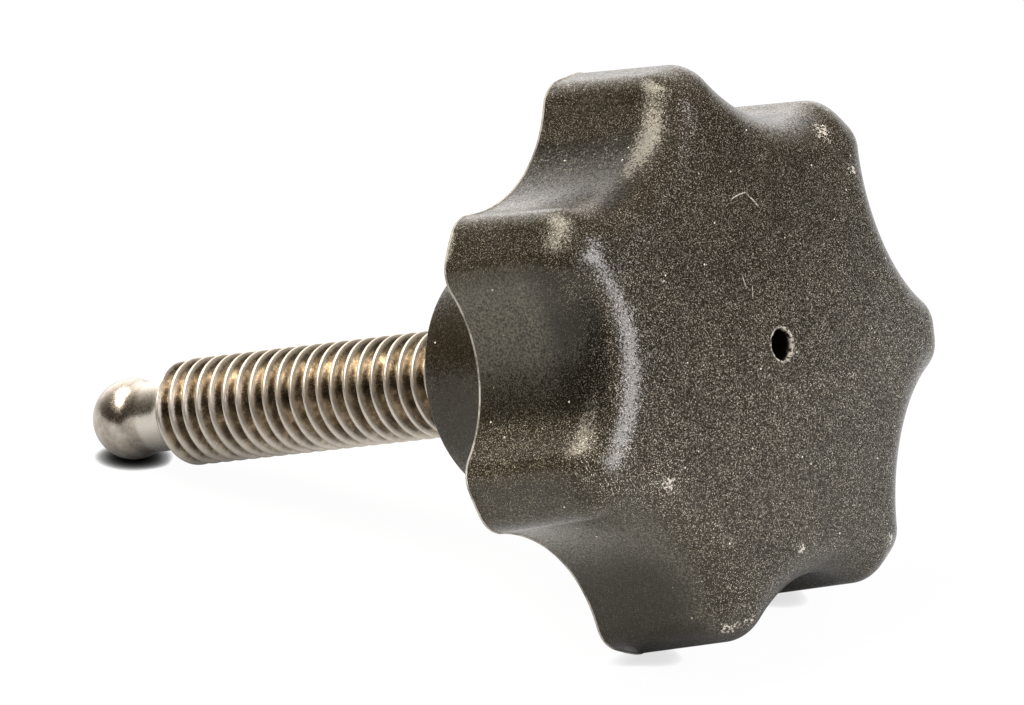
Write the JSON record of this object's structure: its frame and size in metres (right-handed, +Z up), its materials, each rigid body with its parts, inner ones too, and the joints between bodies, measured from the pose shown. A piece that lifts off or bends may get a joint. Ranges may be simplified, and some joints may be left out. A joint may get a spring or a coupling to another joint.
{
  "type": "star knob",
  "caption": "Moulded star knob on a threaded steel stud, with a domed face, a back hub and a ball-ended thrust point.",
  "frame": {"origin": "middle of the footprint box, at the height of the surface that the knob lies on", "axes": "+Z up as the knob lies at rest on two tips of the grip's back rim and on the ball; the stud's axis runs in the XZ plane, with the ball towards -X, and rises 18.5 degrees from the ball to the grip's face, which looks towards +X and up"},
  "size_m": [0.0502, 0.0316, 0.0312],
  "materials": {
    "moulded_plastic": "finely textured, semi-matt, dark grey-brown",
    "stud_steel": "bright rolled thread and polished ball"
  },
  "bodies": {
    "root": {"knob_body": "moulded_plastic", "threaded_stud": "stud_steel"}
  },
  "joints": []
}
